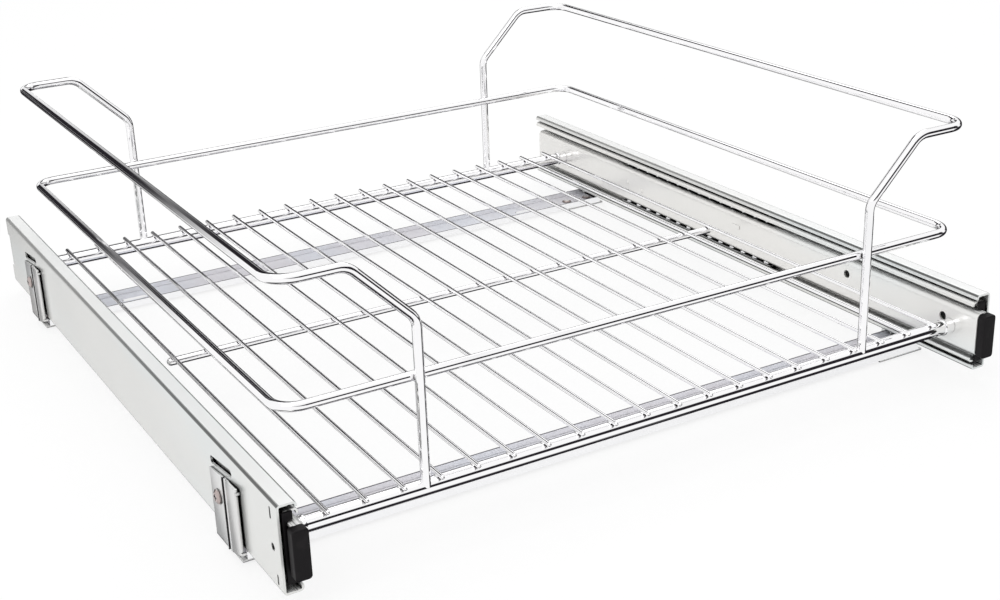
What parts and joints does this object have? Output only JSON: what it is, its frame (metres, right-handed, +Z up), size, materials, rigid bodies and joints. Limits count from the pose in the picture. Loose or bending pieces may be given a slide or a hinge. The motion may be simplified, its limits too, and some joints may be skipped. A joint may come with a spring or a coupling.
{
  "type": "pull out cabinet basket",
  "caption": "Pull out wire basket for a kitchen cabinet: chrome deck, side hoops and rail on full extension ball bearing slides, held by brackets and cross straps.",
  "frame": {"origin": "on the cabinet floor, under the middle of the closed part's footprint", "axes": "+X across the cabinet to the right seen from the front, +Y from the front to the back of the cabinet, +Z up; the basket pulls out along -Y"},
  "size_m": [0.5228, 0.569, 0.1814],
  "materials": {
    "zinc_steel": "bright zinc plated sheet",
    "bracket_steel": "zinc plated sheet",
    "cage_steel": "thin plated sheet",
    "ball_steel": "polished balls",
    "chrome_wire": "polished chrome plated wire",
    "fastener_steel": "zinc plated",
    "black_plastic": "matt moulded"
  },
  "bodies": {
    "frame": {"left_outer_member": "zinc_steel", "right_outer_member": "zinc_steel", "left_front_bracket": "bracket_steel", "right_front_bracket": "bracket_steel", "left_rear_bracket": "bracket_steel", "right_rear_bracket": "bracket_steel", "front_strap": "bracket_steel", "rear_strap": "bracket_steel", "bracket_screws": "fastener_steel", "strap_rivets": "fastener_steel"},
    "basket": {"left_inner_member": "zinc_steel", "right_inner_member": "zinc_steel", "left_end_cap": "black_plastic", "right_end_cap": "black_plastic", "front_bar": "chrome_wire", "rear_bar": "chrome_wire", "middle_bar": "chrome_wire", "deck_wires": "chrome_wire", "left_hoop": "chrome_wire", "right_hoop": "chrome_wire", "middle_rail": "chrome_wire", "bar_screws": "fastener_steel"},
    "left_middle": {"left_middle_member": "zinc_steel"},
    "left_outer_cage": {"left_outer_ball_cage": "cage_steel", "left_outer_balls": "ball_steel"},
    "left_inner_cage": {"left_inner_ball_cage": "cage_steel", "left_inner_balls": "ball_steel"},
    "right_middle": {"right_middle_member": "zinc_steel"},
    "right_outer_cage": {"right_outer_ball_cage": "cage_steel", "right_outer_balls": "ball_steel"},
    "right_inner_cage": {"right_inner_ball_cage": "cage_steel", "right_inner_balls": "ball_steel"}
  },
  "joints": [
    {"name": "basket_slide", "type": "slide", "parent": "frame", "child": "basket", "axis": [0, -1, 0], "range_m": [0, 0.54]},
    {"name": "left_middle_slide", "type": "slide", "parent": "frame", "child": "left_middle", "axis": [0, -1, 0], "range_m": [0, 0.27]},
    {"name": "left_outer_cage_slide", "type": "slide", "parent": "frame", "child": "left_outer_cage", "axis": [0, -1, 0], "range_m": [0, 0.135]},
    {"name": "left_inner_cage_slide", "type": "slide", "parent": "frame", "child": "left_inner_cage", "axis": [0, -1, 0], "range_m": [0, 0.405]},
    {"name": "right_middle_slide", "type": "slide", "parent": "frame", "child": "right_middle", "axis": [0, -1, 0], "range_m": [0, 0.27]},
    {"name": "right_outer_cage_slide", "type": "slide", "parent": "frame", "child": "right_outer_cage", "axis": [0, -1, 0], "range_m": [0, 0.135]},
    {"name": "right_inner_cage_slide", "type": "slide", "parent": "frame", "child": "right_inner_cage", "axis": [0, -1, 0], "range_m": [0, 0.405]}
  ],
  "couplings": [
    {"joint": "left_middle_slide", "follows": "basket_slide", "ratio": 0.5},
    {"joint": "left_outer_cage_slide", "follows": "basket_slide", "ratio": 0.25},
    {"joint": "left_inner_cage_slide", "follows": "basket_slide", "ratio": 0.75},
    {"joint": "right_middle_slide", "follows": "basket_slide", "ratio": 0.5},
    {"joint": "right_outer_cage_slide", "follows": "basket_slide", "ratio": 0.25},
    {"joint": "right_inner_cage_slide", "follows": "basket_slide", "ratio": 0.75}
  ]
}
